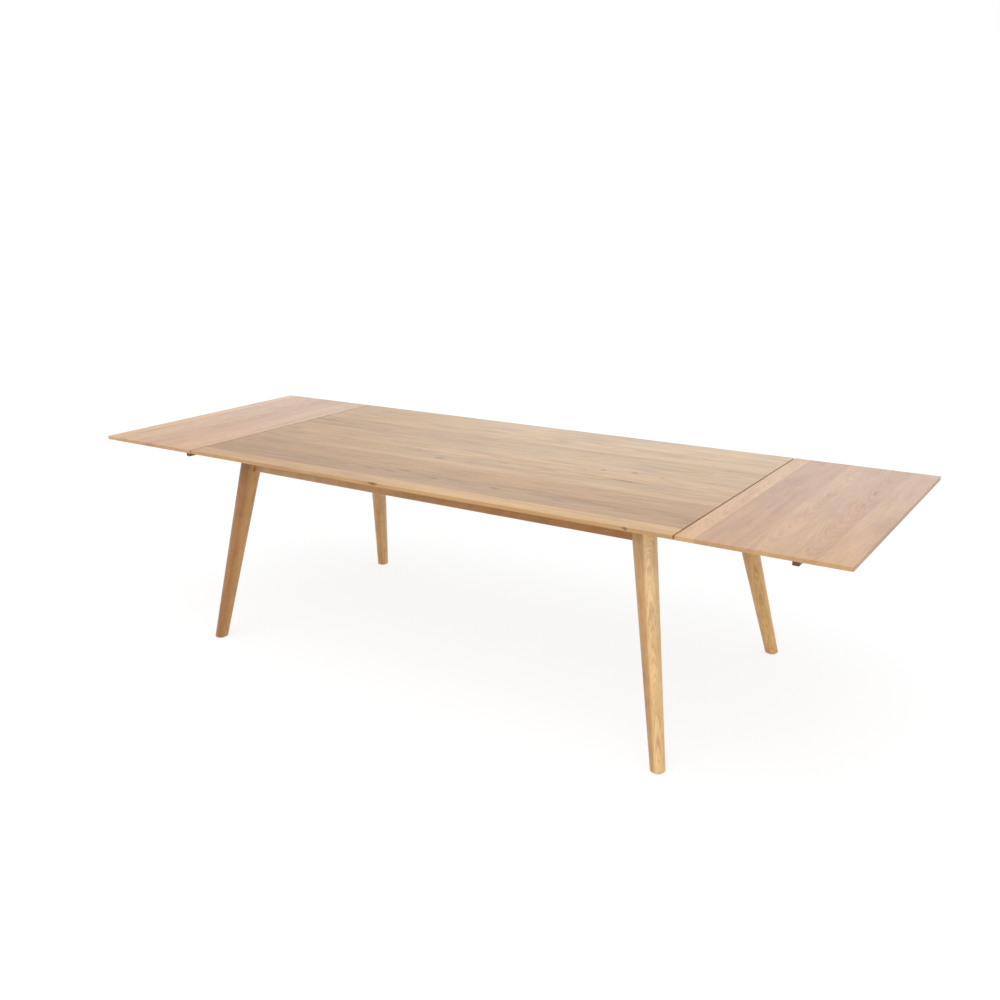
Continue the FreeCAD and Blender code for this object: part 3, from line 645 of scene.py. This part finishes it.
def dress_frame():
    """Aprons, rails, braces and battens under the panels, and the bearers with their blocks."""
    dress(frame_oak("oak_apron", X_AXIS, FRAME_TONE, LENGTHWISE_SEED, APRON_PAINTED_LIGHT_FADE), "apron_front")
    dress(frame_oak("oak_frame_lengthwise", X_AXIS, FRAME_TONE, LENGTHWISE_SEED),
          "apron_back", *("leaf_batten_" + corner for corner in CORNERS))
    dress(frame_oak("oak_frame_crosswise", Y_AXIS, FRAME_TONE, CROSSWISE_SEED),
          "apron_left", "apron_right", "cross_rail_left", "cross_rail_centre", "cross_rail_right")
    for corner in CORNERS:
        slope = -1 if corner in ("front_left", "back_right") else 1
        slant = Vector((1, slope, 0)).normalized()
        dress(frame_oak("oak_brace_" + corner, slant, FRAME_TONE, BRACE_SEED), "corner_brace_" + corner)
    dress(frame_oak("oak_bearer", X_AXIS, BEARER_TONE, BEARER_SEED),
          *("bearer_" + corner for corner in CORNERS))
    dress(frame_oak("oak_pull_block", Y_AXIS, BLOCK_SHADED_TONE, BLOCK_SEED),
          *("pull_block_" + corner for corner in CORNERS))


def dress_small_pieces():
    """Dowels and pins are beech, all metal is zinc plated, and the glides are plastic."""
    dress(beech("beech_dowel"),
          *("leaf_dowels_" + side for side in SIDES), *("stop_pin_" + corner for corner in CORNERS))
    plated = zinc("zinc_steel")
    dress(plated, "hanger_bolts", "hanger_washers", "hanger_nuts")
    dress(plated, "angle_brackets", "brace_screws", "bracket_screws")
    dress(plated, *("leaf_screws_" + side for side in SIDES))
    dress(plated, *("pull_screws_" + corner for corner in CORNERS))
    dress(pebbled_plastic("glide_plastic"), "foot_glides")


def seen_share(tree):
    """One for rays that show the surroundings: from the camera, in gloss and through glass."""
    path = add(tree, "LightPath")
    total = calculate(tree, "ADD", path.outputs["Is Camera Ray"], path.outputs["Is Glossy Ray"])
    return calculate(tree, "ADD", total, path.outputs["Is Transmission Ray"], clamp=True)


def floor_material():
    """Near white where it is seen, pale grey for the light that it throws back, and clear from below."""
    material = bpy.data.materials.new("floor")
    material.use_nodes = True
    tree = material.node_tree
    tree.nodes.clear()
    bounce = add(tree, "BsdfDiffuse")
    bounce.inputs["Color"].default_value = grey(FLOOR_BOUNCE)
    shown = add(tree, "BsdfDiffuse")
    shown.inputs["Color"].default_value = grey(FLOOR_SEEN_DIFFUSE)
    glow = add(tree, "Emission")
    glow.inputs["Strength"].default_value = FLOOR_SEEN_GLOW
    pale = add(tree, "AddShader")
    feed(tree, pale.inputs[0], shown.outputs[0])
    feed(tree, pale.inputs[1], glow.outputs[0])
    choice = add(tree, "MixShader")
    feed(tree, choice.inputs[0], seen_share(tree))
    feed(tree, choice.inputs[1], bounce.outputs[0])
    feed(tree, choice.inputs[2], pale.outputs[0])
    sided = add(tree, "MixShader")
    feed(tree, sided.inputs[0], add(tree, "NewGeometry").outputs["Backfacing"])
    feed(tree, sided.inputs[1], choice.outputs[0])
    feed(tree, sided.inputs[2], add(tree, "BsdfTransparent").outputs[0])
    feed(tree, add(tree, "OutputMaterial").inputs[0], sided.outputs[0])
    return material


def add_floor():
    """A white floor that keeps the table's shadow."""
    mesh = bpy.data.meshes.new("floor")
    reach = FLOOR_HALF_SIZE
    corners = [(-reach, -reach, 0), (reach, -reach, 0), (reach, reach, 0), (-reach, reach, 0)]
    mesh.from_pydata(corners, [], [(0, 1, 2, 3)])
    mesh.materials.append(floor_material())
    plane = bpy.data.objects.new("floor", mesh)
    bpy.context.scene.collection.objects.link(plane)


def add_surroundings():
    """White all round for the camera and for gloss, softer as a light."""
    world = bpy.data.worlds.new("studio")
    world.use_nodes = True
    bpy.context.scene.world = world
    tree = world.node_tree
    background = tree.nodes["Background"]
    background.inputs["Color"].default_value = grey(1.0)
    strength = ease(tree, seen_share(tree), 0.0, 1.0, WORLD_LIGHT, WORLD_SEEN)
    feed(tree, background.inputs["Strength"], strength)


def add_key_light():
    """One large soft lamp from above the front of the table."""
    lamp = bpy.data.lights.new("key", "SUN")
    lamp.energy = KEY_STRENGTH
    lamp.angle = KEY_ANGLE
    light = bpy.data.objects.new("key", lamp)
    light.rotation_euler = (-KEY_FROM).to_track_quat("-Z", "Y").to_euler()
    bpy.context.scene.collection.objects.link(light)


def add_camera():
    """The camera that the photograph was taken with, as its lines tell."""
    lens = bpy.data.cameras.new("camera")
    lens.lens = CAMERA_LENS
    lens.sensor_width = CAMERA_SENSOR
    lens.shift_x, lens.shift_y = CAMERA_SHIFT
    forward = Vector((-math.sin(CAMERA_YAW) * math.cos(CAMERA_PITCH),
                      math.cos(CAMERA_YAW) * math.cos(CAMERA_PITCH),
                      -math.sin(CAMERA_PITCH)))
    level = forward.cross(Z_AXIS).normalized()
    raised = level.cross(forward)
    right = math.cos(CAMERA_ROLL) * level + math.sin(CAMERA_ROLL) * raised
    up = math.cos(CAMERA_ROLL) * raised - math.sin(CAMERA_ROLL) * level
    turn = Matrix((right, up, -forward)).transposed().to_4x4()
    camera = bpy.data.objects.new("camera", lens)
    camera.matrix_world = Matrix.Translation(CAMERA_PLACE) @ turn
    bpy.context.scene.collection.objects.link(camera)
    bpy.context.scene.camera = camera


dress_panels()
dress_legs()
dress_frame()
dress_small_pieces()
add_floor()
add_surroundings()
add_key_light()
add_camera()
bpy.context.scene.view_settings.view_transform = "Standard"
